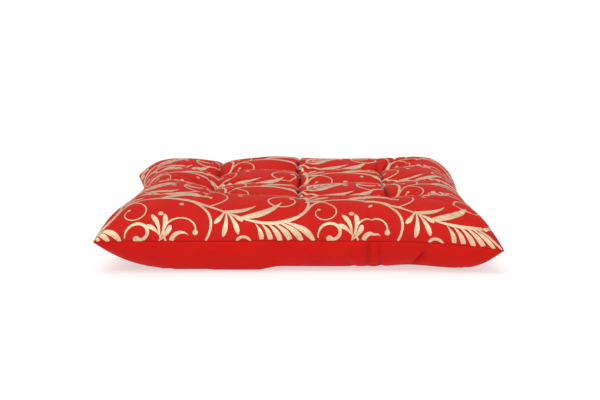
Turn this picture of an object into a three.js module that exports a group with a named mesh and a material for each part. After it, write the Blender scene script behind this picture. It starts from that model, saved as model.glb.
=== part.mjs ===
// Tufted chair pad: a square knife-edge cushion with a printed top, a plain under panel and
// nine tuft stitches that draw the top and the underside together.
// Millimetres, +Z up. The origin is on the surface the pad lies on, under its middle, and -Y is its front.
import * as THREE from "three";

// Driving dimensions
const SIDE = 400; // corner to corner along each side
const SEAM_HEIGHT = 33; // the seam round the edge, above the surface
const CROWN = 33; // the filled top, above the seam
const CENTRE_SAG = 4; // how much lower the four middle blocks stand than the edge blocks
const CORNER_FILL = 0.85; // below 1 the filling reaches further out into the corners
const TUFT_PITCH = 95; // between neighbouring tufts, both ways
const CLOTH = 1.0; // thickness of the under panel
const SEAM_GAP = 0.4; // between the under panel and the filled body it is sewn to
const CELLS_PER_BLOCK = 9; // mesh cells across one tufted block

// Pull of a tuft stitch and of the creases that run from tuft to tuft
const TUFT = { depth: 13, reach: 17, pinch: 6, pinchReach: 6, rise: 12, riseReach: 15 };
const CREASE_FADE = 62;

// Each side: how far it is drawn in, whether that leans to its back or right end, and its rolls from the
// seam in to the full height of the top and to where the underside lies flat
const SIDES = {
  front: { drawn: 8, lean: 0, top: 50 },
  right: { drawn: 14, lean: 0, top: 47, under: 32 },
  back: { drawn: 12, lean: 0, top: 50, under: 42 },
  left: { drawn: 16, lean: 0.6, top: 44, under: 60 },
};

// The corners: how far each is tucked in and hangs below the seam, or stands above it where negative
const CORNERS = [
  { x: -1, y: -1, tuck: 0, droop: -1.5 },
  { x: 1, y: -1, tuck: 0, droop: 7 },
  { x: 1, y: 1, tuck: 9, droop: 6 },
  { x: -1, y: 1, tuck: 0, droop: -5 },
];

// Creases along the tuft columns, front to back, and along the tuft rows, left to right. The dimples that a
// column's tufts draw in the top are as wide as its share of their reach.
const COLUMNS = [
  { x: -TUFT_PITCH, depth: 6, reach: 9, dimples: 1 },
  { x: 0, depth: 5, reach: 4, dimples: 0.5 },
  { x: TUFT_PITCH, depth: 5, reach: 4, dimples: 0.5 },
];
const ROWS = [
  { y: -TUFT_PITCH, depth: 6, reach: 9 },
  { y: 0, depth: 5, reach: 9 },
  { y: TUFT_PITCH, depth: 5, reach: 9 },
];

// Places that stand higher or lower than the rest of the top
const LIFTS = [
  { x: -145, y: -140, lift: 1.5, reach: 34 },
  { x: 48, y: -148, lift: -1, reach: 34 },
  { x: -93, y: 150, lift: -4, reach: 20 },
  { x: -26, y: 146, lift: 4, reach: 32 },
  { x: 142, y: 140, lift: 5, reach: 36 },
  { x: -95, y: -128, lift: 9, reach: 23 },
];

// From the seam in to where the underside meets the surface, along the front from left to right
const UNDER_ROLLS = [
  { x: -200, roll: 58 },
  { x: -110, roll: 27 },
  { x: -42, roll: 22 },
  { x: -18, roll: 44 },
  { x: 65, roll: 42 },
  { x: 112, roll: 68 },
  { x: 165, roll: 40 },
  { x: 200, roll: 32 },
];

const HALF = SIDE / 2;
const bell = (distance, reach) => Math.exp(-((distance / reach) ** 2));
const ease = (t) => t * t * (3 - 2 * t);

// Quarter ellipse from 0 at the seam to 1 at the roll's inner end
function rollOff(distance, roll) {
  const left = Math.max(0, 1 - distance / roll);
  return Math.sqrt(1 - left * left);
}

// Value between the rows of a table, eased from row to row along x
function alongFront(table, x) {
  const end = table.findIndex((row) => row.x >= x);
  if (end <= 0) return end < 0 ? table.at(-1).roll : table[0].roll;
  const [a, b] = [table[end - 1], table[end]];
  return a.roll + (b.roll - a.roll) * ease((x - a.x) / (b.x - a.x));
}

// Plan of the pad: u and v run from -1 to 1 between the seams, which are drawn in between the corners
function planPoint(u, v, inset = 0) {
  const half = HALF - inset;
  const drawn = (side, along) => side.drawn * (1 - along * along) * (1 + side.lean * along);
  const point = {
    x: half * u - drawn(u > 0 ? SIDES.right : SIDES.left, v) * u ** 3,
    y: half * v - drawn(v > 0 ? SIDES.back : SIDES.front, u) * v ** 3,
    droop: 0,
  };
  for (const corner of CORNERS) {
    const near = (Math.max(0, u * corner.x) * Math.max(0, v * corner.y)) ** 4;
    point.x -= corner.x * corner.tuck * near;
    point.y -= corner.y * corner.tuck * near;
    point.droop += corner.droop * near;
  }
  return point;
}

// Pull of every tuft at a place, as a broad dimple and a tight pinch at the stitch
function tuftPull(x, y) {
  const { depth, reach, pinch, pinchReach } = TUFT;
  let pull = 0;
  for (const column of COLUMNS)
    for (const row of ROWS) {
      const distance = Math.hypot(x - column.x, y - row.y);
      pull += depth * bell(distance, reach * column.dimples) + pinch * Math.exp(-distance / pinchReach);
    }
  return pull;
}

// Rise of the underside over every tuft
function tuftRise(x, y) {
  let rise = 0;
  for (const column of COLUMNS)
    for (const row of ROWS) rise += TUFT.rise * bell(Math.hypot(x - column.x, y - row.y), TUFT.riseReach);
  return rise;
}

// Depth of the creases: full between the outer tufts, fading out towards the seams
function creasePull(x, y) {
  const fade = (along) => bell(Math.max(0, Math.abs(along) - TUFT_PITCH), CREASE_FADE);
  const across = (distance, reach) => Math.exp(-Math.abs(distance) / reach);
  const columns = COLUMNS.map((c) => c.depth * across(x - c.x, c.reach) * fade(y));
  const rows = ROWS.map((r) => r.depth * across(y - r.y, r.reach) * fade(x));
  return Math.max(...columns, ...rows);
}

// Top panel: the crown rolls up from the seam, the tufts and creases draw it down
function topPoint(u, v) {
  const { x, y, droop } = planPoint(u, v);
  const edgeX = rollOff(HALF * (1 - Math.abs(u)), u > 0 ? SIDES.right.top : SIDES.left.top);
  const edgeY = rollOff(HALF * (1 - Math.abs(v)), v > 0 ? SIDES.back.top : SIDES.front.top);
  const sag = CENTRE_SAG * bell(Math.hypot(x, y), TUFT_PITCH);
  const lift = LIFTS.reduce((sum, b) => sum + b.lift * bell(Math.hypot(x - b.x, y - b.y), b.reach), 0);
  const fill = CROWN - sag + lift - tuftPull(x, y) - creasePull(x, y);
  return new THREE.Vector3(x, y, SEAM_HEIGHT - droop + fill * (edgeX * edgeY) ** CORNER_FILL);
}

// Underside: rolls down from the seam to lie flat, with a dimple over each tuft.
// inset moves it into the pad and rimDrop lowers its rim.
function underPoint(u, v, inset, rimDrop) {
  const { x, y, droop } = planPoint(u, v, inset);
  const rollX = u > 0 ? SIDES.right.under : SIDES.left.under;
  const rollY = v > 0 ? SIDES.back.under : alongFront(UNDER_ROLLS, x);
  const edge = rollOff(HALF * (1 - Math.abs(u)), rollX) * rollOff(HALF * (1 - Math.abs(v)), rollY);
  const dimple = tuftRise(x, y);
  const rim = SEAM_HEIGHT - droop - rimDrop;
  const resting = dimple < 0.2 ? 0 : dimple;
  return new THREE.Vector3(x, y, rim * (1 - edge) + (resting + inset) * edge);
}

// Grid lines from seam to seam, closer together at the seams and at the tufts
function gridLines() {
  const stops = [-1, -TUFT_PITCH / HALF, 0, TUFT_PITCH / HALF, 1];
  const lines = [stops[0]];
  for (let block = 1; block < stops.length; block++)
    for (let cell = 1; cell <= CELLS_PER_BLOCK; cell++) {
      const t = cell / CELLS_PER_BLOCK;
      lines.push(stops[block - 1] + (stops[block] - stops[block - 1]) * (t + ease(t)) * 0.5);
    }
  return lines;
}

// Closed shell between an upper and a lower surface over the same grid, joined by a strip round the rim
function shell(upper, lower) {
  const lines = gridLines();
  const n = lines.length;
  const positions = [];
  for (const surface of [upper, lower])
    for (const v of lines) for (const u of lines) positions.push(...surface(u, v).toArray());
  const index = [];
  const quad = (a, b, c, d) => index.push(a, b, c, a, c, d);
  const at = (column, row) => row * n + column;
  const under = n * n;
  const last = n - 1;
  for (let row = 0; row + 1 < n; row++)
    for (let column = 0; column + 1 < n; column++) {
      const ring = [at(column, row), at(column + 1, row), at(column + 1, row + 1), at(column, row + 1)];
      // each cell is split along the line that points to the nearest corner
      if (column < last / 2 !== row < last / 2) ring.push(ring.shift());
      const [a, b, c, d] = ring;
      quad(a, b, c, d);
      quad(a + under, d + under, c + under, b + under);
    }
  for (let i = 0; i < last; i++) {
    const edges = [
      [at(i, 0), at(i + 1, 0)],
      [at(last, i), at(last, i + 1)],
      [at(last - i, last), at(last - i - 1, last)],
      [at(0, last - i), at(0, last - i - 1)],
    ];
    for (const [from, to] of edges) quad(from + under, to + under, to, from);
  }
  const geometry = new THREE.BufferGeometry();
  geometry.setAttribute("position", new THREE.Float32BufferAttribute(positions, 3));
  geometry.setIndex(index);
  geometry.computeVertexNormals();
  return geometry;
}

function piece(name, geometry, material) {
  const mesh = new THREE.Mesh(geometry, new THREE.MeshStandardMaterial(material));
  mesh.name = name;
  return mesh;
}

const PRINTED_CLOTH = { color: 0xcc2a22, roughness: 0.7, metalness: 0.0 };
const PLAIN_CLOTH = { color: 0xca2420, roughness: 0.8, metalness: 0.0 };

const chairPad = new THREE.Group();

// Filled body under the printed top panel: one solid from the crown down to the inside of the under panel
const body = shell(topPoint, (u, v) => underPoint(u, v, CLOTH + SEAM_GAP, 0));
chairPad.add(piece("filled_pad", body, PRINTED_CLOTH));

// Under panel: one sheet of plain cloth from the seam round the underside, flat where it lies
const underPanel = shell(
  (u, v) => underPoint(u, v, CLOTH, SEAM_GAP),
  (u, v) => underPoint(u, v, 0, SEAM_GAP),
);
chairPad.add(piece("under_panel", underPanel, PLAIN_CLOTH));

export default chairPad;
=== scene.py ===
# %% [markdown]
# # Tufted chair pad
# A square chair pad lies on a pale floor. Its top is red cotton with a gold leaf-scroll print, its
# underside is plain red cotton, and nine stitches draw the two together into sixteen soft blocks.
# Every length below is in millimetres, and becomes metres only when a mesh is made.

import bpy
import numpy as np
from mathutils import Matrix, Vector


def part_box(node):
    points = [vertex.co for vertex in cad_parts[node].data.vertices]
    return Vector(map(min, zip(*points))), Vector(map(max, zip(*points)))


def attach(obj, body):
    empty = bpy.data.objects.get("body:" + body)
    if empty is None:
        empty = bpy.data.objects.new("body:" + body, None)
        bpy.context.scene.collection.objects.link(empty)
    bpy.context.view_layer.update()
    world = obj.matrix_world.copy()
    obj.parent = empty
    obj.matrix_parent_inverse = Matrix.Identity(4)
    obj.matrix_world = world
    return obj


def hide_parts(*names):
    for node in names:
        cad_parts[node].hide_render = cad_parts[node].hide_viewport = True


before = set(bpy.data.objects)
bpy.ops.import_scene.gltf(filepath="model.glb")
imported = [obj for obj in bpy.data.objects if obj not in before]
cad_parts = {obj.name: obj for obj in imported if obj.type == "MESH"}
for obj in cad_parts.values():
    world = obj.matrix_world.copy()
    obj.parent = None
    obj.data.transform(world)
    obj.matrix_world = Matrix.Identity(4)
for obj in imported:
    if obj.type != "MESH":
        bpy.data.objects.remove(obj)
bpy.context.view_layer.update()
MM = 0.001
low, high = (np.array(corner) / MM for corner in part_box("filled_pad"))
HALF = (high[0] - low[0]) / 2
scene = bpy.context.scene
print("pad in the frame, mm:", np.round(high - low, 1))

# %% [markdown]
# The camera stands well back from the front edge and a little above it, so the top is seen at a low angle.
# A long lens keeps the sides nearly parallel.

# %% Camera
IMAGE_WIDTH = 600
FOCAL_PIXELS = 1413
CAMERA_BACK = 1368
CAMERA_HEIGHT = 311
CAMERA_SIDE = 1.3
CAMERA_PITCH = 9.74

lens = bpy.data.cameras.new("camera")
lens.sensor_width = 36
lens.lens = FOCAL_PIXELS / IMAGE_WIDTH * lens.sensor_width
camera = bpy.data.objects.new("camera", lens)
camera.location = Vector((CAMERA_SIDE, -HALF - CAMERA_BACK, CAMERA_HEIGHT)) * MM
camera.rotation_euler = (np.radians(90 - CAMERA_PITCH), 0, 0)
scene.collection.objects.link(camera)
scene.camera = camera
print("lens, mm:", round(lens.lens, 1))

# %% [markdown]
# A product picture of cloth wants soft light from all round, so the world is white and a broad soft sun
# stands over the camera. The world is dimmer behind the pad: the top is seen at a low angle and mirrors
# that side, which is why its gold looks deeper than the gold on the front slope. The floor is a light
# table: about half of its brightness is its own, so the shadow of the pad stays faint.

# %% Floor
FLOOR_REACH = 40_000
FLOOR_GREY = 0.45
FLOOR_GLOW = 0.56
FLOOR_ROUGHNESS = 0.9


def level_square(name, reach, height):
    """One square face at a height, that reaches as far from the origin to each side."""
    corners = [(-reach, -reach), (reach, -reach), (reach, reach), (-reach, reach)]
    mesh = bpy.data.meshes.new(name)
    mesh.from_pydata([(x * MM, y * MM, height * MM) for x, y in corners], [], [(0, 1, 2, 3)])
    square = bpy.data.objects.new(name, mesh)
    scene.collection.objects.link(square)
    return square


def pale_floor():
    """A square that reaches past the edge of the view, half lit and half glowing, white in all."""
    floor = level_square("floor", FLOOR_REACH, 0)
    material = bpy.data.materials.new("floor_white")
    material.use_nodes = True
    shader = material.node_tree.nodes["Principled BSDF"]
    shader.inputs["Base Color"].default_value = (FLOOR_GREY, FLOOR_GREY, FLOOR_GREY, 1)
    shader.inputs["Roughness"].default_value = FLOOR_ROUGHNESS
    shader.inputs["Emission Color"].default_value = (1, 1, 1, 1)
    shader.inputs["Emission Strength"].default_value = FLOOR_GLOW
    floor.data.materials.append(material)
    return floor


pale_floor()
print("floor to each side, mm:", FLOOR_REACH)


# %% World and light
def soft_world(front, back):
    """White all round: its strength runs from front, on the camera's side, to back behind the pad."""
    world = bpy.data.worlds.new("studio")
    world.use_nodes = True
    nodes, links = world.node_tree.nodes, world.node_tree.links
    place = nodes.new("ShaderNodeTexCoord")
    split = nodes.new("ShaderNodeSeparateXYZ")
    strength = nodes.new("ShaderNodeMapRange")
    strength.inputs["From Min"].default_value = -1
    strength.inputs["From Max"].default_value = 1
    strength.inputs["To Min"].default_value = front
    strength.inputs["To Max"].default_value = back
    links.new(place.outputs["Generated"], split.inputs[0])
    links.new(split.outputs["Y"], strength.inputs["Value"])
    links.new(strength.outputs["Result"], nodes["Background"].inputs["Strength"])
    nodes["Background"].inputs["Color"].default_value = (1, 1, 1, 1)
    return world


def soft_sun(power, height, turn, spread):
    """A distant soft light on the camera's side: its height and its turn to the left, in degrees."""
    light = bpy.data.lights.new("front_light", "SUN")
    light.energy = power
    light.angle = np.radians(spread)
    lamp = bpy.data.objects.new("front_light", light)
    lamp.rotation_euler = (np.radians(90 - height), 0, -np.radians(turn))
    scene.collection.objects.link(lamp)
    return lamp


scene.world = soft_world(front=0.95, back=0.55)
soft_sun(power=1.35, height=64, turn=20, spread=40)
scene.view_settings.view_transform = "Standard"

# %% [markdown]
# The form of the pad follows the one in the frame. It is worked out here again on a finer grid, because the
# cloth starts from it: the seam is drawn in between the corners, the filling rolls up from the seam to a
# crown, and the tufts and the creases between them draw the top down.

# %% Sizes of the form
SEAM_HEIGHT = 33
CROWN = 33
CENTRE_SAG = 4
CORNER_FILL = 0.85
TUFT_PITCH = 95
TUFT = dict(depth=13, reach=17, pinch=6, pinch_reach=6, rise=12, rise_reach=15)
SIDES = dict(
    front=dict(drawn=8, lean=0, top=50),
    right=dict(drawn=14, lean=0, top=47, under=32),
    back=dict(drawn=12, lean=0, top=50, under=42),
    left=dict(drawn=16, lean=0.6, top=44, under=60),
)
# side of the corner in x and y, how far it is tucked in, and how far it hangs below the seam, or stands
# above it where that is negative
CORNERS = [(-1, -1, 0, -1.5), (1, -1, 0, 7), (1, 1, 9, 6), (-1, 1, 0, -5)]
# place of a crease, its depth and its reach
COLUMNS = [(-TUFT_PITCH, 6, 9), (0, 2, 4), (TUFT_PITCH, 3, 4)]
ROWS = [(-TUFT_PITCH, 6, 9), (0, 5, 9), (TUFT_PITCH, 5, 9)]
# how wide the dimples of each column of tufts are, as a share of the reach above
DIMPLES = [1.0, 0.42, 0.5]
CREASE_FADE = 62
CORNER_POWER = 4
# x, y, lift and reach of the places that stand higher or lower than the rest
LIFTS = [
    (-145, -140, 1.5, 34), (48, -148, -1, 34), (-93, 150, -4, 20), (-26, 146, 4, 32), (142, 140, 5, 36),
    (-95, -128, 9, 23),
]
# x along the front, and how far in from the seam the underside meets the floor there
UNDER_ROLLS = [(-200, 58), (-110, 27), (-42, 22), (-18, 44), (65, 42), (112, 68), (165, 40), (200, 32)]
print("tufts:", len(COLUMNS) * len(ROWS))


# %% Plan of the pad
def bell(distance, reach):
    """1 at no distance, falling as exp of minus the square of distance over reach."""
    return np.exp(-((distance / reach) ** 2))


def roll_off(distance, roll):
    """A quarter ellipse: 0 at the seam, 1 from the roll's inner end on."""
    left = np.clip(1 - distance / roll, 0, 1)
    return np.sqrt(1 - left**2)


def by_side(along, negative, positive, key):
    """A size of one side where along is negative, and of the other side where it is positive."""
    return np.where(along > 0, SIDES[positive].get(key, 0), SIDES[negative].get(key, 0))


def plan(u, v):
    """Place of u, v, which run from -1 to 1 between the seams, and how far the seam droops there.

    A side is drawn in as 1 - along squared, and a corner acts as a power of u times v.
    """
    def drawn(across, along, negative, positive):
        depth, lean = (by_side(across, negative, positive, key) for key in ("drawn", "lean"))
        return depth * (1 - along**2) * (1 + lean * along) * across**3

    x = HALF * u - drawn(u, v, "left", "right")
    y = HALF * v - drawn(v, u, "front", "back")
    droop = np.zeros_like(x)
    for side_x, side_y, tuck, hang in CORNERS:
        near = (np.maximum(0, u * side_x) * np.maximum(0, v * side_y)) ** CORNER_POWER
        x = x - side_x * tuck * near
        y = y - side_y * tuck * near
        droop = droop + hang * near
    return x, y, droop


print("front right corner and its droop, mm:", np.round(plan(1.0, -1.0), 1))


# %% Tufts and creases of the form
def tuft_pull(x, y, depth, reach, pinch=0, pinch_reach=1):
    """Sum over the tufts of a broad dimple and a tight pinch at the stitch."""
    pull = 0
    for (column, *_), wide in zip(COLUMNS, DIMPLES):
        for row, *_ in ROWS:
            distance = np.hypot(x - column, y - row)
            pull = pull + (depth * bell(distance, reach * wide) + pinch * np.exp(-distance / pinch_reach))
    return pull


def crease_pull(x, y):
    """The deepest crease at a place: each falls off across its line and fades out past the outer tufts."""
    def fade(along):
        return bell(np.maximum(0, np.abs(along) - TUFT_PITCH), CREASE_FADE)

    columns = [depth * np.exp(-np.abs(x - place) / reach) * fade(y) for place, depth, reach in COLUMNS]
    rows = [depth * np.exp(-np.abs(y - place) / reach) * fade(x) for place, depth, reach in ROWS]
    return np.max(columns + rows, axis=0)


print("crease halfway between two tufts, mm:", np.round(crease_pull(-TUFT_PITCH, TUFT_PITCH / 2), 1))


# %% Top and underside of the form
def top_form(u, v):
    """Top: crown less sag, tufts and creases, times the roll-offs from the four seams."""
    x, y, droop = plan(u, v)
    edge = roll_off(HALF * (1 - np.abs(u)), by_side(u, "left", "right", "top"))
    edge = edge * roll_off(HALF * (1 - np.abs(v)), by_side(v, "front", "back", "top"))
    lift = sum(height * bell(np.hypot(x - at_x, y - at_y), reach) for at_x, at_y, height, reach in LIFTS)
    dimples = tuft_pull(x, y, TUFT["depth"], TUFT["reach"], TUFT["pinch"], TUFT["pinch_reach"])
    pull = dimples + crease_pull(x, y)
    fill = CROWN - CENTRE_SAG * bell(np.hypot(x, y), TUFT_PITCH) + lift - pull
    return np.stack([x, y, SEAM_HEIGHT - droop + fill * edge**CORNER_FILL], axis=-1)


def under_form(u, v):
    """Underside: rolls from the seam down to the floor, with a dimple over each tuft."""
    x, y, droop = plan(u, v)
    table = np.array(UNDER_ROLLS, float)
    row = np.clip(np.searchsorted(table[:, 0], x) - 1, 0, len(table) - 2)
    t = np.clip((x - table[row, 0]) / (table[row + 1, 0] - table[row, 0]), 0, 1)
    front_roll = table[row, 1] + (table[row + 1, 1] - table[row, 1]) * t * t * (3 - 2 * t)
    edge = roll_off(HALF * (1 - np.abs(u)), by_side(u, "left", "right", "under"))
    edge = edge * roll_off(HALF * (1 - np.abs(v)), np.where(v > 0, SIDES["back"]["under"], front_roll))
    dimple = tuft_pull(x, y, TUFT["rise"], TUFT["rise_reach"])
    return np.stack([x, y, (SEAM_HEIGHT - droop) * (1 - edge) + dimple * edge], axis=-1)


print("form at the middle tuft, mm:", top_form(0.0, 0.0).round(1), under_form(0.0, 0.0).round(1))

# %% Cloth grid on the form
CELLS = 100
MEAN_ROLL = 48
# places along a line at which lengths are added up
FINE = 4001


def even_lines():
    """Grid lines from seam to seam, spaced evenly along the cloth as it rolls over the edge."""
    inwards = np.linspace(0, HALF, FINE)
    height = CROWN * roll_off(inwards, MEAN_ROLL) ** CORNER_FILL
    along = np.concatenate([[0], np.cumsum(np.hypot(np.diff(inwards), np.diff(height)))])
    first_half = np.interp(np.linspace(0, along[-1], CELLS // 2 + 1), along, inwards) / HALF - 1
    return np.concatenate([first_half, -first_half[-2::-1]]), 2 * along[-1]


lines, cloth_length = even_lines()
u, v = np.meshgrid(lines, lines)
form = {"top": top_form(u, v), "under": under_form(u, v)}
print("crown above the floor, mm:", round(form["top"][..., 2].max(), 1))
print("from seam to seam over the top, mm:", round(cloth_length, 1))

# %% [markdown]
# Real cotton is cut flat, so it cannot follow the form everywhere: it is short along the tuft rows and
# spare at the corners and along the seam. A cloth simulation finds where it goes. Both panels start on the
# form, but their threads have the lengths of two flat squares. The tufts and corners are pinned, the
# filling pushes from inside as pressure, and the floor holds the underside flat.

# %% Panels and where they start
FLAT_SIDE = 440
TUFT_FLAT = np.array([-0.22, 0, 0.22]) * FLAT_SIDE
TUFT_TOP = 43
TUFT_UNDER = 13
# how far the corners are drawn out, and how quickly that fades away from them
EAR = 3
EAR_POWER = 8


def panel_faces(index):
    """The four corner indices of every cell of a grid of vertex indices."""
    corners = [index[:-1, :-1], index[:-1, 1:], index[1:, 1:], index[1:, :-1]]
    return np.stack(corners, axis=-1).reshape(-1, 4)


def sewn_panels():
    """Vertex numbers of both panels as grids: they share the vertices of the seam."""
    count = CELLS + 1
    top = np.arange(count * count).reshape(count, count)
    under = top.copy()
    inner = np.s_[1:-1, 1:-1]
    under[inner] = count * count + np.arange((count - 2) ** 2).reshape(count - 2, count - 2)
    return top, under


def starting_places(form, tufts):
    """The form with its tufts at their stitches and its corners drawn out by a power of u times v."""
    start = {side: points.copy() for side, points in form.items()}
    spots = np.array([-TUFT_PITCH, 0, TUFT_PITCH], float)
    for side, height in (("top", TUFT_TOP), ("under", TUFT_UNDER)):
        start[side][tufts] = np.stack([*np.meshgrid(spots, spots), np.full((3, 3), height)], axis=-1)
    ears = EAR * (u * v) ** EAR_POWER
    for points in start.values():
        points[..., 0] += ears * np.sign(u)
        points[..., 1] += ears * np.sign(v)
    return start


top_index, under_index = sewn_panels()
stop = np.rint((TUFT_FLAT / FLAT_SIDE + 0.5) * CELLS).astype(int)
tufts = np.ix_(stop, stop)
start = starting_places(form, tufts)
print("threads sewn together at the seam:", len(np.intersect1d(top_index, under_index)))

# %% Sewn cloth
# the underside lies on the floor where it is lower than this
LYING = 0.3


def gather(top, under):
    """Points of both panels in one list, in metres; the seam takes the top panel's."""
    points = np.empty((under_index.max() + 1, 3))
    points[under_index] = under
    points[top_index] = top
    return points * MM


def sewn_cloth(points):
    """The two panels as one mesh on the form, with a shape key of their flat cut."""
    mesh = bpy.data.meshes.new("cloth")
    faces = np.vstack([panel_faces(top_index), panel_faces(under_index)[:, ::-1]])
    mesh.from_pydata(points.tolist(), [], faces.tolist())
    cloth = bpy.data.objects.new("cloth", mesh)
    scene.collection.objects.link(cloth)
    cloth.shape_key_add(name="on_the_form")
    cut = cloth.shape_key_add(name="flat_cut")
    flat = np.stack([u * FLAT_SIDE / 2, v * FLAT_SIDE / 2, 0 * u], axis=-1)
    cut.data.foreach_set("co", gather(flat, flat).ravel())
    return cloth, cut


def pin_down(cloth):
    """A group of the points that stay put: tufts, corners and what lies on the floor."""
    pins = cloth.vertex_groups.new(name="pins")
    lying = under_index[form["under"][..., 2] < LYING]
    corners = top_index[[0, 0, -1, -1], [0, -1, 0, -1]]
    pinned = np.concatenate([top_index[tufts].ravel(), under_index[tufts].ravel(), corners, lying])
    pins.add(pinned.tolist(), 1.0, "REPLACE")
    return pins


print("points of the sewn cloth:", len(gather(start["top"], start["under"])))

# %% Ground and cotton
FRAMES = 14
PRESSURE = 10
GROUND_REACH = 1000
GROUND_THICK = 1


def firm_ground():
    """A square just under the cloth, thick enough to stop it at the level of the floor."""
    ground = level_square("rest", GROUND_REACH, -GROUND_THICK)
    ground.modifiers.new("ground", "COLLISION")
    ground.collision.thickness_outer = GROUND_THICK * MM
    ground.collision.cloth_friction = 5
    return ground


def make_cotton(cloth, cut, pins):
    """Give the mesh the weight, stiffness and flat lengths of cotton, and pressure from inside."""
    modifier = cloth.modifiers.new("cloth", "CLOTH")
    modifier.point_cache.frame_start = 1
    modifier.point_cache.frame_end = FRAMES
    modifier.collision_settings.distance_min = MM
    modifier.collision_settings.collision_quality = 1
    settings = modifier.settings
    settings.quality = 5
    settings.mass = 0.005
    settings.tension_stiffness = 15
    settings.compression_stiffness = 5
    settings.shear_stiffness = 2
    settings.bending_stiffness = 0.02
    settings.tension_damping = settings.compression_damping = settings.shear_damping = 1
    settings.bending_damping = 0.1
    settings.use_pressure = True
    settings.uniform_pressure_force = PRESSURE
    settings.vertex_group_mass = pins.name
    settings.rest_shape_key = cut
    settings.effector_weights.gravity = 0


print("frames in which the cloth settles:", FRAMES)

# %% Cloth simulation
# how far a point of the top, and one of the underside, may move
MOST_MOVE = 14
MOST_MOVE_UNDER = 1


def simulate():
    """Let the panels settle, cap how far each point moves, and return their grids of points."""
    points = gather(start["top"], start["under"])
    cloth, cut = sewn_cloth(points)
    pins = pin_down(cloth)
    ground = firm_ground()
    make_cotton(cloth, cut, pins)
    for step in range(1, FRAMES + 1):
        scene.frame_set(step)
    settled = cloth.evaluated_get(bpy.context.evaluated_depsgraph_get()).data
    result = np.empty(len(points) * 3)
    settled.vertices.foreach_get("co", result)
    moved = result.reshape(-1, 3) - points
    far = np.linalg.norm(moved, axis=1, keepdims=True)
    most = np.full((len(points), 1), float(MOST_MOVE_UNDER))
    most[top_index] = MOST_MOVE
    moved *= np.minimum(1, most * MM / np.maximum(far, 1e-9))
    points = (points + moved) / MM
    for helper in (cloth, ground):
        bpy.data.objects.remove(helper)
    scene.frame_set(1)
    print("cloth moved at most, mm:", round(far.max() / MM, 1))
    return {"top": points[top_index], "under": points[under_index]}


cloth = simulate()
cloth["under"][..., 2] = np.maximum(cloth["under"][..., 2], 0)

# %% [markdown]
# The settled cloth is a coarse grid of threads. Each finished surface samples it with a smooth cubic at
# places on the flat panel, so the pad, the under panel and the print all follow the same cloth. Creases
# finer than that grid are added here by formula: a sharp valley along each line of tufts, small gathers
# round each stitch, and the tucks in the front of the under panel.

# %% Valleys
# depth of the valley through a line of tufts, the shares of it left between two tufts, out to the front or
# left seam and out to the back or right seam, and the reach of its two flanks
COLUMN_VALLEYS = [(9, 0.35, 0, 0.9, 3, 6), (7, 0.85, 0.3, 0.9, 1.8, 1.2), (6, 0.7, 0.2, 0.15, 1.6, 1.6)]
ROW_VALLEYS = [(4, 0.4, 0.3, 0.3, 6, 6)] * 3
NEAR_TUFT = 24
FADE_OUT = 75
SWAY = 1.6
SWAY_LENGTH = 23


def valley(across, along, depth, between, before, beyond, left, right):
    """Falls off from a swaying line as exp of minus distance over reach, deepest next to the tufts."""
    off_line = across - SWAY * np.sin(along / SWAY_LENGTH)
    flank = np.exp(-np.abs(off_line) / np.where(off_line < 0, left, right))
    near = sum(bell(along - tuft, NEAR_TUFT) for tuft in TUFT_FLAT)
    past = np.abs(along) - TUFT_FLAT[-1]
    outer = np.where(along < 0, before, beyond) * bell(np.maximum(0, past), FADE_OUT)
    return depth * flank * np.clip(np.maximum(near, np.where(past < 0, between, outer)), 0, 1)


print("valleys:", len(COLUMN_VALLEYS) + len(ROW_VALLEYS))

# %% Folds
# where each fold starts and ends on the flat cloth, its depth, reach and how dark the shade painted into its
# bottom is
FOLDS = [
    (98, 92, 149, 243, 7, 1.8, 0.8),
    (-97, 0, -196, 12, 4, 2.5, 0.45),
    (-97, 0, -204, -14, 4, 2.5, 0.35),
    (-97, 0, -172, 38, 3.5, 2.5, 0.4),
    (-97, 0, -50, 24, 3.5, 2, 0.4),
    (-97, 0, -34, 4, 3, 2, 0.35),
    (-97, 0, -66, 48, 3.5, 2, 0.4),
    (-97, 0, -116, 62, 3, 2, 0.3),
    (-97, 97, -52, 82, 2.5, 3, 0),
    (97, -97, 140, -86, 2.5, 3, 0),
    (78, -222, 66, -136, 3, 4, 0.15),
]


def fold(x, y, start_x, start_y, end_x, end_y, reach):
    """1 on a line, falling as exp of minus distance over reach and as 1 - t squared towards its end."""
    run_x, run_y = end_x - start_x, end_y - start_y
    t = np.clip(((x - start_x) * run_x + (y - start_y) * run_y) / (run_x**2 + run_y**2), 0, 1)
    distance = np.hypot(x - start_x - t * run_x, y - start_y - t * run_y)
    return np.exp(-distance / reach) * (1 - t**2)


print("folds:", len(FOLDS))

# %% Pleats round the stitches
PLEAT = 2.2
PLEAT_RADIUS = 14
PLEAT_SPREAD = 0.8
PLEATS = 9
# how far the pleats wander from an even fan, and how much the wandering and the fan turn from tuft to tuft
WANDER = 0.35
WANDER_TURN = 1.7
FAN_TURN = 2.4


def pleats(x, y):
    """Folds that fan out from each tuft: 1 less the size of a sine round it, in a bell-shaped ring."""
    total = 0 * x
    for number, (column, row) in enumerate((c, r) for c in TUFT_FLAT for r in TUFT_FLAT):
        angle = np.arctan2(y - row, x - column)
        ring = bell(np.hypot(x - column, y - row) - PLEAT_RADIUS, PLEAT_SPREAD * PLEAT_RADIUS)
        wander = WANDER * np.sin(3 * angle + WANDER_TURN * number)
        total += PLEAT * ring * (1 - np.abs(np.sin(PLEATS * angle / 2 + wander + FAN_TURN * number)))
    return total


print("pleats beside the middle stitch, mm:", np.round(pleats(PLEAT_RADIUS, 0.0), 1))

# %% Creases of the top and their painted shade
# how dark the shade painted into the bottom of each column's valley and round each stitch is, and how wide
# that painted shade is
PAINTED_CHANNEL_SHADES = (0.5, 1.4, 1.2)
CHANNEL_WIDTH = 1.0
PAINTED_STITCH_SHADE = 0.9
STITCH_WIDTH = 3.5


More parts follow.
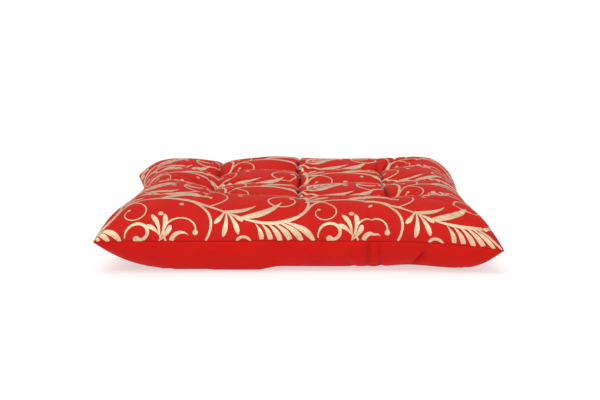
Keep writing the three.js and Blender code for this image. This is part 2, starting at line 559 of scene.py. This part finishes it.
def top_creases(x, y):
    """How far the top is drawn down at a flat place: the deepest valley or fold there, plus the pleats."""
    columns = [valley(x - place, y, *size) for place, size in zip(TUFT_FLAT, COLUMN_VALLEYS)]
    rows = [valley(y - place, x, *size) for place, size in zip(TUFT_FLAT, ROW_VALLEYS)]
    folds = [depth * fold(x, y, *line, reach) for *line, depth, reach, _ in FOLDS]
    return np.max(columns + rows + folds, axis=0) + pleats(x, y)


def painted_crease_shade(x, y):
    """Painted shade, 0 to 1, in the narrow bottom of a column's valley, of a deep fold or of a tuft."""
    shades = [
        shade * valley(x - place, y, 1, *size[1:4], CHANNEL_WIDTH, CHANNEL_WIDTH)
        for place, shade, size in zip(TUFT_FLAT, PAINTED_CHANNEL_SHADES, COLUMN_VALLEYS)
    ]
    shades += [dark * fold(x, y, *line, CHANNEL_WIDTH) for *line, _, _, dark in FOLDS]
    for column in TUFT_FLAT:
        shades += [PAINTED_STITCH_SHADE * bell(np.hypot(x - column, y - row), STITCH_WIDTH) for row in TUFT_FLAT]
    return np.clip(np.max(shades, axis=0), 0, 1)


print("crease at the middle stitch, mm:", np.round(top_creases(0.0, 0.0), 1))
print("its shade, from 0 to 1:", np.round(painted_crease_shade(0.0, 0.0), 2))

# %% Creases of the under panel
# flat x at the seam, lean, where it starts and ends below the seam, depth, reach
TUCKS = [
    (70, 0.02, -6, 48, 6, 2.2),
    (80, 0.1, -4, 60, 5, 2.4),
    (132, -0.3, 14, 42, 9, 2.4),
    (40, 0.3, 20, 60, 3, 3),
]
# the way a tuck goes into the pad, back and up
INWARD = np.array([0, 0.8, 0.6])


def under_creases(x, y):
    """Sum of the tucks: each falls off from its line as exp, and as a bell towards both its ends."""
    below = y + FLAT_SIDE / 2
    total = 0 * x
    for place, lean, start, end, depth, reach in TUCKS:
        middle, half = (start + end) / 2, (end - start) / 2
        total += depth * np.exp(-np.abs(x - place - lean * below) / reach) * bell(below - middle, half)
    return total


print("tucks in the under panel:", len(TUCKS))

# %% Sampling the cloth
# the seam holds the cloth, so creases fade out over this last stretch
SEAM_HOLD = 6


def cubic_weights(t):
    """Catmull-Rom weights of four neighbouring threads, for a smooth curve that passes through them."""
    return [
        -0.5 * t + t**2 - 0.5 * t**3,
        1 - 2.5 * t**2 + 1.5 * t**3,
        0.5 * t + 2 * t**2 - 1.5 * t**3,
        -0.5 * t**2 + 0.5 * t**3,
    ]


def on_cloth(panel, x, y):
    """Points of a panel at flat places x, y, measured from its middle, with its creases."""
    padded = np.pad(cloth[panel], ((1, 1), (1, 1), (0, 0)), mode="reflect", reflect_type="odd")
    column, row = ((place / FLAT_SIDE + 0.5) * CELLS for place in (x, y))
    i, j = (np.clip(np.floor(place).astype(int), 0, CELLS - 1) for place in (column, row))
    across, along = cubic_weights(column - i), cubic_weights(row - j)
    points = sum(
        (across[a] * along[b])[..., None] * padded[j + b, i + a] for a in range(4) for b in range(4)
    )
    from_seam = FLAT_SIDE / 2 - np.maximum(np.abs(x), np.abs(y))
    held = np.clip(from_seam / SEAM_HOLD, 0, 1)[..., None]
    if panel == "top":
        return points - held * top_creases(x, y)[..., None] * (0, 0, 1)
    return points + held * under_creases(x, y)[..., None] * INWARD


def outward(panel, x, y, step=1.0):
    """Unit normals that point out of the pad, from the slopes of the cloth both ways."""
    run_x = on_cloth(panel, x + step, y) - on_cloth(panel, x - step, y)
    run_y = on_cloth(panel, x, y + step) - on_cloth(panel, x, y - step)
    normal = np.cross(run_x, run_y) if panel == "top" else np.cross(run_y, run_x)
    return normal / np.linalg.norm(normal, axis=-1, keepdims=True)


middle = np.zeros(1)
print("middle of the top, mm:", np.round(on_cloth("top", middle, middle)[0], 1))

# %% Flat grids
# how far from a line of tufts the grid lines stand closer together
CROWD_REACH = 7


def flat_lines(cells, closer):
    """Places of grid lines from seam to seam, closer together where a line of tufts runs."""
    places = np.linspace(-FLAT_SIDE / 2, FLAT_SIDE / 2, FINE)
    crowd = np.cumsum(1 + closer * sum(bell(places - tuft, CROWD_REACH) for tuft in TUFT_FLAT))
    crowd = (crowd - crowd[0]) / (crowd[-1] - crowd[0])
    return np.interp(np.linspace(0, 1, cells + 1), crowd, places)


def flat_grid(cells, closer_columns=0, closer_rows=0):
    """Flat places over a whole panel, cells to a side."""
    return np.meshgrid(flat_lines(cells, closer_columns), flat_lines(cells, closer_rows))


print("lines of a grid of four cells, mm:", flat_lines(4, 0).round(1))


# %% Meshes from grids
def shell(upper, lower):
    """Points, quads and which quads are smooth, of a closed body between two grids joined round the rim."""
    rows, columns = upper.shape[:2]
    below = rows * columns
    index = np.arange(below).reshape(rows, columns)
    rim = np.concatenate([index[0, :-1], index[:-1, -1], index[-1, :0:-1], index[:0:-1, 0]])
    after = np.roll(rim, -1)
    strip = np.stack([rim + below, after + below, after, rim], axis=-1)
    faces = np.vstack([panel_faces(index), panel_faces(index + below)[:, ::-1], strip])
    smooth = np.arange(len(faces)) < len(faces) - len(strip)
    return np.vstack([upper.reshape(-1, 3), lower.reshape(-1, 3)]), faces, smooth


def both_sides(x, y):
    """Flat places of the points of a shell: those of its upper grid, then the same for its lower one."""
    return np.tile(np.stack([x, y], axis=-1).reshape(-1, 2), (2, 1))


def new_piece(name, points, faces, smooth, flat_places, slot):
    """A mesh on the pad's body, with a UV map of its flat places and the shade painted into the creases
    there.
    """
    mesh = bpy.data.meshes.new(name)
    mesh.from_pydata((points * MM).tolist(), [], faces.tolist())
    mesh.polygons.foreach_set("use_smooth", smooth)
    corner = np.empty(len(mesh.loops), int)
    mesh.loops.foreach_get("vertex_index", corner)
    uv = mesh.uv_layers.new(name="cloth")
    uv.data.foreach_set("uv", (flat_places[corner] / FLAT_SIDE + 0.5).ravel())
    # how much shade is painted into the colour at each point, from how deep in a crease it lies
    crease = mesh.attributes.new("crease", "FLOAT", "POINT")
    crease.data.foreach_set("value", painted_crease_shade(*flat_places.T))
    mesh.update()
    piece = bpy.data.objects.new(name, mesh)
    scene.collection.objects.link(piece)
    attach(piece, "root")
    print(name, "triangles:", sum(len(face.vertices) - 2 for face in mesh.polygons))
    return piece


# %% [markdown]
# The filled pad is the printed top panel and all that it covers. It could be a hollow cover with fibre
# inside, but the fibre never shows, so it is one closed body. Below the seam it stops short of the under
# panel by the thickness of that cloth, so the seam shows as a fine line.

# %% Filled pad
CLOTH = 1.0
SEAM_GAP = 0.2
PAD_CELLS = 220
CLOSER_COLUMNS = 2.5
CLOSER_ROWS = 0.7
RIM_TURN = 8


def inside_under(x, y, depth):
    """The underside moved inwards by depth: along its normal, turning level close to the seam."""
    near_x, near_y = (bell(FLAT_SIDE / 2 - np.abs(place), RIM_TURN) for place in (x, y))
    level = np.stack([-np.sign(x) * near_x, -np.sign(y) * near_y, 0 * x], axis=-1)
    share = np.maximum(near_x, near_y)[..., None]
    inward = -outward("under", x, y) * (1 - share) + level * share
    inward /= np.linalg.norm(inward, axis=-1, keepdims=True)
    return on_cloth("under", x, y) + depth * inward


x, y = flat_grid(PAD_CELLS, CLOSER_COLUMNS, CLOSER_ROWS)
points, faces, smooth = shell(on_cloth("top", x, y), inside_under(x, y, CLOTH + SEAM_GAP))
pad = new_piece("printed_pad", points, faces, smooth, both_sides(x, y), "printed_cotton")
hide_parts("filled_pad")

# %% [markdown]
# The under panel is one sheet of plain cotton, sewn to the top all round. A Solidify modifier could thicken
# one grid. Here two grids are worked out and joined to a thin closed shell, because the inner one has to
# keep clear of the filled pad right up to the seam. The rim stays a hair below the top panel's edge.

# %% Under panel
UNDER_CELLS = 200

x, y = flat_grid(UNDER_CELLS)
near_seam = bell(FLAT_SIDE / 2 - np.maximum(np.abs(x), np.abs(y)), RIM_TURN)
drop = np.stack([0 * x, 0 * x, SEAM_GAP * near_seam], axis=-1)
points, faces, smooth = shell(inside_under(x, y, CLOTH) - drop, on_cloth("under", x, y) - drop)
points[:, 2] = np.maximum(points[:, 2], 0)
under_panel = new_piece("under_panel_cloth", points, faces, smooth, both_sides(x, y), "plain_cotton")
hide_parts("under_panel")

# %% [markdown]
# The print is a leaf scroll in flat gold that repeats across the cloth: swelling stems, sickle leaves,
# lobed leaves, plumes, small fans and curls that end in a bulb. A stroke is a ribbon along a curve whose
# bend changes evenly, and most strokes grow from a place on an earlier one. A picture laid over the cloth
# could show the print too, but drawn strokes stay sharp from close by. The ribbons lie on the cloth as a
# print does.

# %% Table of the scroll
# name, parent, where on it as a share of its length, or a point where it has none, turn, length,
# bends at start and end, width, kind
SCROLL = [
    ("low_vine", None, (-105, -62), 66.9, 240.4, -396, 396, 4.6, "vine"),
    ("high_vine", None, (-4, 44), 66.9, 240.4, -396, 396, 4.6, "vine"),
    ("low_scroll", "low_vine", 0.95, 10, 178, 150, 720, 3.0, "curl"),
    ("low_under", "low_vine", 0.36, -8, 178, -150, -700, 3.0, "curl"),
    ("high_scroll", "high_vine", 0.95, 10, 150, 190, 680, 2.8, "curl"),
    ("high_under", "high_vine", 0.36, -8, 190, -130, -720, 3.0, "curl"),
    ("low_tendril", "low_vine", 0.14, 52, 80, 90, 520, 1.8, "curl"),
    ("low_twist", "low_vine", 0.09, -62, 74, -70, -520, 1.8, "curl"),
    ("high_twist", "high_vine", 0.09, -62, 74, -70, -520, 1.8, "curl"),
    ("high_crook", "high_vine", 0.47, 58, 84, 60, 560, 2.0, "curl"),
    ("low_hook", None, (-96, -106), 95, 56, -160, -420, 3.6, "hook"),
    ("high_hook", None, (6, 2), 95, 56, -160, -420, 3.6, "hook"),
    ("mid_hook", None, (-66, -10), 84, 40, 140, 420, 3.2, "hook"),
    ("low_sickle", "low_vine", 0.22, 46, 66, -70, -110, 10, "sickle"),
    ("high_sickle", "high_vine", 0.22, 42, 64, -70, -110, 10, "sickle"),
    ("low_blade", "low_vine", 0.64, 34, 58, 30, 90, 9, "sickle"),
    ("high_blade", "high_vine", 0.64, 30, 58, 40, 90, 9, "sickle"),
    ("low_spear", "low_vine", 0.56, 24, 42, 30, 90, 6, "sickle"),
    ("high_spear", "high_vine", 0.55, 24, 40, 30, 90, 6, "sickle"),
    ("low_heart", "low_scroll", 0.60, 34, 32, 120, 200, 5, "sickle"),
    ("high_heart", "high_under", 0.60, -34, 32, -120, -200, 5, "sickle"),
    ("low_leaf", "low_under", 0.20, 34, 56, -6, -6, 6.6, "leaf"),
    ("high_leaf", "low_vine", 0.44, 66, 60, -6, -6, 6.6, "leaf"),
    ("low_plume", "low_vine", 0.84, -10, 54, -30, -80, 7, "plume"),
    ("high_plume", "high_vine", 0.84, -10, 48, -30, -90, 7, "plume"),
    ("low_fan", None, (-58, -104), 70, 34, 30, 60, 5.5, "fan"),
    ("high_fan", None, (44, 4), 70, 34, 30, 60, 5.5, "fan"),
    ("high_spray", "high_scroll", 0.19, -46, 32, -20, -40, 5.5, "fan"),
    ("mid_spray", "high_vine", 0.57, -46, 36, -10, -40, 5.5, "fan"),
    ("low_seed", None, (-66, -76), 0, 6, 0, 0, 6, "seed"),
    ("high_seed", None, (40, 34), 0, 6, 0, 0, 6, "seed"),
    ("mid_seed", None, (38, -34), 0, 6, 0, 0, 6, "seed"),
    ("far_seed", None, (-84, 86), 0, 6, 0, 0, 6, "seed"),
    ("arch_seed", None, (62, 52), 0, 5, 0, 0, 5, "seed"),
]
print("kinds of stroke:", sorted({row[-1] for row in SCROLL}))

# %% Strokes
ROUND_ENDED = ("seed", "finger")
LEAST_POINTS = 9
# length of a step along each kind of stroke
STEPS = dict(vine=2.4, curl=2.0, hook=1.8, sickle=2.0, lobe=2.0, finger=1.6, seed=1.0)


def rounded(s, start):
    """1 up to start, then a quarter circle down to 0 at the end."""
    return np.sqrt(np.clip(1 - (np.clip(s - start, 0, 1) / (1 - start)) ** 2, 0, 1))


# width of a stroke, as a share of its full width, at s from 0 at its start to 1 at its end
OUTLINES = dict(
    vine=lambda s: 0.45 + 0.55 * np.sin(2 * np.pi * (s - 0.1)) ** 2,
    curl=lambda s: 1 - 0.45 * s,
    hook=lambda s: 0.3 + 0.7 * np.minimum(1, s / 0.4),
    sickle=lambda s: np.abs(np.sin(np.pi * s**0.75)) ** 0.9,
    lobe=lambda s: 0.12 * (1 - s) + 0.95 * np.abs(np.sin(np.pi * s**1.35)) ** 1.1,
    finger=lambda s: (0.16 + 0.84 * np.clip(s / 0.72, 0, 1) ** 1.3) * rounded(s, 0.72),
    seed=lambda s: np.sqrt(np.clip(1 - (2 * s - 1) ** 2, 0, 1)),
)


def stroke(place, heading, length, bend_start, bend_end, width, kind):
    """A curve whose bend changes evenly: heading(s) = heading + start s + (end - start) s squared / 2."""
    s = np.linspace(0, 1, max(LEAST_POINTS, int(length / STEPS[kind]) + 1))
    if kind in ROUND_ENDED:
        s = (1 - np.cos(np.pi * s)) / 2
    angle = np.radians(heading + bend_start * s + (bend_end - bend_start) * s**2 / 2)
    middle = (angle[1:] + angle[:-1]) / 2
    steps = np.stack([np.cos(middle), np.sin(middle)], axis=-1) * length * np.diff(s)[:, None]
    line = np.array(place, float) + np.vstack([[0, 0], np.cumsum(steps, axis=0)])
    return line, angle, width * OUTLINES[kind](s)


def ahead(degrees, distance):
    """A step of some distance along a heading."""
    return distance * np.array([np.cos(np.radians(degrees)), np.sin(np.radians(degrees))])


def spot_on(grown, share):
    """Place and heading at a share of a stroke's length."""
    line, angle = grown[:2]
    shares = np.linspace(0, 1, len(line))
    place = np.array([np.interp(share, shares, line[:, axis]) for axis in (0, 1)])
    return place, np.degrees(np.interp(share, shares, angle))


print("points along the first vine:", len(stroke(*SCROLL[0][2:])[0]))

# %% Growths of the scroll
# turn, share of the length, and start along the fan's own line, of each finger
FAN = [(-34, 0.66, -5), (-8, 1.0, -4), (20, 0.95, -2), (50, 0.62, 0)]
# lobes of a plume: how far apart they start, the first one's turn and what the last one's adds to it, and
# how much shorter and slimmer the last one is
PLUME_LOBES = np.linspace(0, 1, 6)
PLUME = dict(back=30, turn=16, spread=40, shorter=0.45, slimmer=0.25)
# lobes of a leaf: their places and bends, how far a pair is apart, size, turn and width of one at the
# foot and what each loses up to the tip, then the midrib's width and the end lobe's size and width
LEAF_LOBES = np.linspace(0.14, 0.78, 5)
LOBE_BENDS = (20, 70)
LEAF = dict(
    apart=0.3, size=0.48, shorter=0.3, turn=52, closing=18, slimmer=0.4,
    rib=0.3, end_size=0.34, end_width=0.7,
)
BULB = 2.0
BULB_SET_BACK = 0.3


def fan(place, heading, length, bends, width):
    """Four round-ended fingers that spread from one foot."""
    return [
        stroke(place + ahead(heading, start), heading + turn, share * length, *bends, width, "finger")
        for turn, share, start in FAN
    ]


def plume(place, heading, length, bends, width):
    """Lobes one behind the other along a stem: each turns further away, and is shorter and slimmer."""
    return [
        stroke(
            place + ahead(heading, -PLUME["back"] * f),
            heading - PLUME["turn"] - PLUME["spread"] * f,
            length * (1 - PLUME["shorter"] * f),
            *bends,
            width * (1 - PLUME["slimmer"] * f),
            "lobe",
        )
        for f in PLUME_LOBES
    ]


def leaf(place, heading, length, bends, width):
    """A midrib with pairs of lobes that curve towards its tip and get smaller, and one lobe at the end."""
    made = [stroke(place, heading, length, *bends, LEAF["rib"] * width, "sickle")]
    for f in LEAF_LOBES:
        foot, facing = spot_on(made[0], f)
        for side in (1, -1):
            root = foot + ahead(facing + 90 * side, LEAF["apart"])
            turned = facing + side * (LEAF["turn"] - LEAF["closing"] * f)
            size = length * (LEAF["size"] - LEAF["shorter"] * f)
            curve = [-side * bend for bend in LOBE_BENDS]
            made.append(stroke(root, turned, size, *curve, width * (1 - LEAF["slimmer"] * f), "lobe"))
    return made + [stroke(foot, facing, LEAF["end_size"] * length, 0, 0, LEAF["end_width"] * width, "lobe")]


def bulb_end(grown, width):
    """A round bulb on the end of a curl."""
    end, facing = spot_on(grown, 1)
    size = BULB * width
    return stroke(end - ahead(facing, BULB_SET_BACK * BULB * width), facing, size, 0, 0, size, "seed")


def scroll_strokes():
    """Every stroke of one repeat, each growth set on its parent where the table says."""
    grown, made = {}, []
    clusters = dict(fan=fan, plume=plume, leaf=leaf)
    for name, parent, at, turn, length, *bends, width, kind in SCROLL:
        place, heading = np.array(at, float), turn
        if parent:
            place, facing = spot_on(grown[parent], at)
            heading = facing + turn
        if kind in clusters:
            strokes = clusters[kind](place, heading, length, bends, width)
        else:
            strokes = [stroke(place, heading, length, *bends, width, kind)]
        if kind in ("curl", "hook"):
            strokes.append(bulb_end(strokes[0], width))
        grown[name] = strokes[0]
        made += strokes
    return made


scroll = scroll_strokes()
print("strokes in one repeat:", len(scroll))

# %% Print on the cloth
REPEAT = 210.0
PRINT_SCALE = 0.92
PRINT_OFFSET = (14.0, 168.0)
PRINT_PROUD = 0.15
PRINT_SUNK = 0.25
SEAM_MARGIN = 0.6
LEAST_WIDTH = 0.3
PRINT_CELL = 2.5
LEAST_ACROSS = 3
LEAST_ALONG = 3
REPEATS = range(-3, 4)


def ribbons(strokes):
    """Flat grids of the strokes of all repeats that reach the panel, cut at the seam."""
    limit = FLAT_SIDE / 2 - SEAM_MARGIN
    for shift in [(i, j) for i in REPEATS for j in REPEATS]:
        offset = np.array(PRINT_OFFSET) + np.array(shift) * REPEAT * PRINT_SCALE
        for line, angle, width in strokes:
            half = np.maximum(PRINT_SCALE * width, LEAST_WIDTH)[:, None, None] / 2
            count = max(LEAST_ACROSS, int(2 * half.max() / PRINT_CELL) + 2)
            across = np.linspace(1, -1, count)[None, :, None]
            side = np.stack([-np.sin(angle), np.cos(angle)], axis=-1)[:, None, :]
            grid = (PRINT_SCALE * line + offset)[:, None, :] + half * side * across
            inside = (np.abs(grid).max(axis=-1) < limit).any(axis=1)
            ends = np.flatnonzero(np.diff(np.concatenate([[0], inside, [0]])))
            for start, stop in zip(ends[::2], ends[1::2]):
                if stop - start >= LEAST_ALONG:
                    yield np.clip(grid[start:stop], -limit, limit)


def joined(shells):
    """Many shells as one: their points, quads with shifted numbers, and smooth flags."""
    points, faces, smooth = zip(*shells)
    first = np.cumsum([0] + [len(part) for part in points[:-1]])
    return np.vstack(points), np.vstack([part + n for part, n in zip(faces, first)]), np.concatenate(smooth)


def printed(grid):
    """A closed, flat-shaded ribbon that lies on the top panel at the flat places of a grid."""
    x, y = grid[..., 0], grid[..., 1]
    base, normal = on_cloth("top", x, y), outward("top", x, y)
    points, faces, smooth = shell(base + PRINT_PROUD * normal, base - PRINT_SUNK * normal)
    return points, faces, np.zeros_like(smooth)


grids = list(ribbons(scroll))
flat_places = np.vstack([both_sides(grid[..., 0], grid[..., 1]) for grid in grids])
print_piece = new_piece("gold_print", *joined([printed(grid) for grid in grids]), flat_places, "gold_print")

# %% [markdown]
# Each tuft is tied off with a bar of thread on the top and on the underside. Single threads could be laid
# side by side, but the dimples hide nearly all of a bar, so it is one flat loaf: its edges and ends are
# rounded by square roots, like the one that makes a circle.

# %% Tuft stitches
BAR_LENGTH = 9
BAR_WIDTH = 2.2
BAR_THICK = 1.4
BAR_CELLS = (12, 6)
BAR_ROUND = 0.9
BAR_LIFT = 0.3
# the bars run front to back, give or take some degrees, by a sine from tuft to tuft
BAR_TURN = 90
BAR_SWING = 25
BAR_PHASE = 2.1


def bar(centre, heading):
    """A loaf along a heading: width and thickness shrink to the ends, thickness also to the edges."""
    s, t = np.meshgrid(*(np.linspace(-1, 1, cells + 1) for cells in BAR_CELLS), indexing="ij")
    end = np.sqrt(1 - BAR_ROUND * s**4)
    along, across = BAR_LENGTH / 2 * s, BAR_WIDTH / 2 * t * end
    thick = BAR_THICK / 2 * end * np.sqrt(1 - BAR_ROUND * t**2)
    x = along * np.cos(heading) - across * np.sin(heading)
    y = along * np.sin(heading) + across * np.cos(heading)
    return shell(*(np.stack([x, y, side * thick], axis=-1)[:, ::-1] + centre for side in (1, -1)))


columns, rows = np.meshgrid(TUFT_FLAT, TUFT_FLAT)
turns = np.radians(BAR_TURN + BAR_SWING * np.sin(np.arange(columns.size) * BAR_PHASE))
bars = []
for panel, lift in (("top", BAR_LIFT), ("under", -BAR_LIFT)):
    spots = on_cloth(panel, columns, rows).reshape(-1, 3) + (0, 0, lift)
    bars += [bar(spot, turn) for spot, turn in zip(spots, turns)]
points, faces, smooth = joined(bars)
stitches = new_piece("tuft_stitches", points, faces, smooth, points[:, :2], "plain_cotton")

# %% [markdown]
# Cotton is a plain weave of fine yarns with a soft sheen at low angles. The bump of the weave is worked out
# from the flat cloth's UV map, so the yarns follow the cloth into every dimple. Hardly any light reaches the
# bottom of a valley, so shade is painted into the colour of the printed cloth and of the gold there. The
# gold is a metallic pigment that takes the same weave.

# %% Weave and mottle
YARN = 0.55
YARN_HEIGHT = 0.1
MOTTLE_RANGE = (0.3, 0.7)
MOTTLE_DETAIL = 4


def weave_bump(tree, strength):
    """Normal of a plain weave: the product of two sine waves along and across the yarns."""
    nodes, links = tree.nodes, tree.links
    place = nodes.new("ShaderNodeUVMap")
    place.uv_map = "cloth"
    split = nodes.new("ShaderNodeSeparateXYZ")
    links.new(place.outputs["UV"], split.inputs[0])
    waves = []
    for axis in ("X", "Y"):
        turn = nodes.new("ShaderNodeMath")
        turn.operation = "MULTIPLY"
        turn.inputs[1].default_value = np.pi * FLAT_SIDE / YARN
        wave = nodes.new("ShaderNodeMath")
        wave.operation = "SINE"
        links.new(split.outputs[axis], turn.inputs[0])
        links.new(turn.outputs[0], wave.inputs[0])
        waves.append(wave)
    weave = nodes.new("ShaderNodeMath")
    weave.operation = "MULTIPLY"
    links.new(waves[0].outputs[0], weave.inputs[0])
    links.new(waves[1].outputs[0], weave.inputs[1])
    bump = nodes.new("ShaderNodeBump")
    bump.inputs["Strength"].default_value = strength
    bump.inputs["Distance"].default_value = YARN_HEIGHT * MM
    links.new(weave.outputs[0], bump.inputs["Height"])
    return bump.outputs["Normal"]


def mottle(tree, dark, light, scale):
    """A colour that drifts between two shades over the cloth, by a noise on its UV map."""
    nodes, links = tree.nodes, tree.links
    place = nodes.new("ShaderNodeUVMap")
    place.uv_map = "cloth"
    noise = nodes.new("ShaderNodeTexNoise")
    noise.inputs["Scale"].default_value = scale
    noise.inputs["Detail"].default_value = MOTTLE_DETAIL
    ramp = nodes.new("ShaderNodeValToRGB")
    for mark, position, colour in zip(ramp.color_ramp.elements, MOTTLE_RANGE, (dark, light)):
        mark.position = position
        mark.color = (*colour, 1)
    links.new(place.outputs["UV"], noise.inputs["Vector"])
    links.new(noise.outputs["Fac"], ramp.inputs["Fac"])
    return ramp.outputs["Color"]


print("yarns from seam to seam:", round(FLAT_SIDE / YARN))

# %% Cloth finishes
# painted shade: the near-black red that is mixed into the colour at the bottom of creases
PAINTED_SHADE_COLOUR = (0.06, 0.002, 0.002, 1)
SHEEN_COLOUR = (1.0, 0.4, 0.35, 1)
SHEEN_ROUGHNESS = 0.4
SHINE = 0.1


def woven(name, dark, light, roughness, bump, metallic=0.0, sheen=0.0, grain=14, paint_crease_shade=False):
    """A woven finish with its own colours, gloss and strength of weave, with shade painted into the creases
    if asked.
    """
    material = bpy.data.materials.new(name)
    material.use_nodes = True
    tree = material.node_tree
    shader = tree.nodes["Principled BSDF"]
    shader.inputs["Roughness"].default_value = roughness
    shader.inputs["Metallic"].default_value = metallic
    shader.inputs["Sheen Weight"].default_value = sheen
    shader.inputs["Sheen Roughness"].default_value = SHEEN_ROUGHNESS
    shader.inputs["Sheen Tint"].default_value = SHEEN_COLOUR
    shader.inputs["Specular IOR Level"].default_value = SHINE
    colour = mottle(tree, dark, light, scale=grain)
    # shade painted into the colour at the bottom of creases, by the crease attribute
    if paint_crease_shade:
        crease = tree.nodes.new("ShaderNodeAttribute")
        crease.attribute_name = "crease"
        shade_mix = tree.nodes.new("ShaderNodeMix")
        shade_mix.data_type = "RGBA"
        shade_mix.inputs["B"].default_value = PAINTED_SHADE_COLOUR
        tree.links.new(crease.outputs["Fac"], shade_mix.inputs["Factor"])
        tree.links.new(colour, shade_mix.inputs["A"])
        colour = shade_mix.outputs["Result"]
    tree.links.new(colour, shader.inputs["Base Color"])
    tree.links.new(weave_bump(tree, bump), shader.inputs["Normal"])
    return material


printed_red = woven(
    "printed_red_cotton", (0.50, 0.008, 0.0045), (0.55, 0.010, 0.0055),
    roughness=0.6, bump=0.5, sheen=0.04, paint_crease_shade=True,
)
plain_red = woven(
    "plain_red_cotton", (0.55, 0.007, 0.004), (0.60, 0.009, 0.005),
    roughness=0.75, bump=0.5, sheen=0.03,
)
gold = woven(
    "gold_pigment", (0.56, 0.40, 0.25), (0.75, 0.55, 0.365),
    roughness=0.45, bump=0.3, metallic=0.5, grain=150, paint_crease_shade=True,
)
finishes = [(pad, printed_red), (under_panel, plain_red), (print_piece, gold), (stitches, plain_red)]
for piece, finish in finishes:
    piece.data.materials.append(finish)
    print(piece.name, "is finished in", finish.name)
